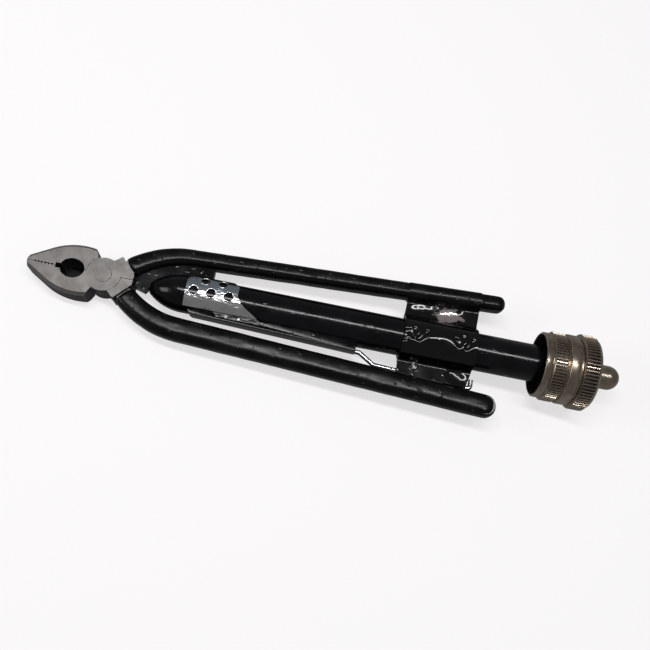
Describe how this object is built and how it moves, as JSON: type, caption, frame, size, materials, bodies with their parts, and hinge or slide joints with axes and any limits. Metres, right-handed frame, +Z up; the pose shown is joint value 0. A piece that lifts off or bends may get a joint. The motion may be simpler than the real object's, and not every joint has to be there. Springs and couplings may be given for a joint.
{
  "type": "safety wire twisting pliers",
  "caption": "Lapped-joint pliers with black dipped handles, a spiral twister tube with a nickel pull knob, and a thumb latch.",
  "frame": {"origin": "on the pivot axis, at the head's flat underside", "axes": "+X along the tool axis from the jaws to the pull knob, +Y towards the upper handle that carries the tube, +Z up through the head"},
  "size_m": [0.2346, 0.0497, 0.03],
  "materials": {
    "forged_steel": "satin",
    "black_dip": "gloss",
    "black_enamel": "gloss",
    "bright_plate": "bright",
    "brass_nut": "machined",
    "drawn_steel": "drawn",
    "warm_nickel": "tumbled"
  },
  "bodies": {
    "front_half": {"front_half_forging": "forged_steel", "upper_handle_grip": "black_dip", "pivot_rivet": "forged_steel", "nose_web": "black_enamel", "tube_nose_plug": "black_enamel", "twister_tube": "black_enamel", "cross_plate": "black_enamel", "under_strap": "black_enamel", "strap_rivets": "black_enamel", "spiral_nut": "brass_nut", "nut_pins": "drawn_steel", "tube_end_bushing": "brass_nut", "return_spring": "drawn_steel"},
    "back_half": {"back_half_forging": "forged_steel", "lower_handle_grip": "black_dip", "catch_lug": "black_enamel"},
    "latch": {"thumb_slide": "bright_plate", "latch_bar": "black_enamel", "latch_wire": "bright_plate", "slide_rivets": "bright_plate"},
    "follower": {"spring_follower": "brass_nut"},
    "spiral_drive": {"spiral_rod": "drawn_steel", "rod_end_collar": "drawn_steel", "pull_knob": "warm_nickel", "knob_washer": "drawn_steel", "dome_nut": "warm_nickel"}
  },
  "joints": [
    {"name": "jaw_pivot", "type": "hinge", "parent": "front_half", "child": "back_half", "pos_m": [0, 0, 0.005], "axis": [0, 0, -1], "range_deg": [0, 22]},
    {"name": "latch_slide", "type": "slide", "parent": "front_half", "child": "latch", "axis": [1, 0, 0], "range_m": [0, 0.008]},
    {"name": "knob_pull", "type": "slide", "parent": "front_half", "child": "follower", "axis": [1, 0, 0], "range_m": [0, 0.055], "stiffness_N_per_m": 80, "deforming": ["return_spring"]},
    {"name": "knob_twist", "type": "hinge", "parent": "follower", "child": "spiral_drive", "pos_m": [0.1, 0, 0.005], "axis": [1, 0, 0], "range_deg": [0, 415]}
  ],
  "couplings": [
    {"joint": "knob_twist", "follows": "knob_pull", "rad_per_m": 130.9}
  ]
}
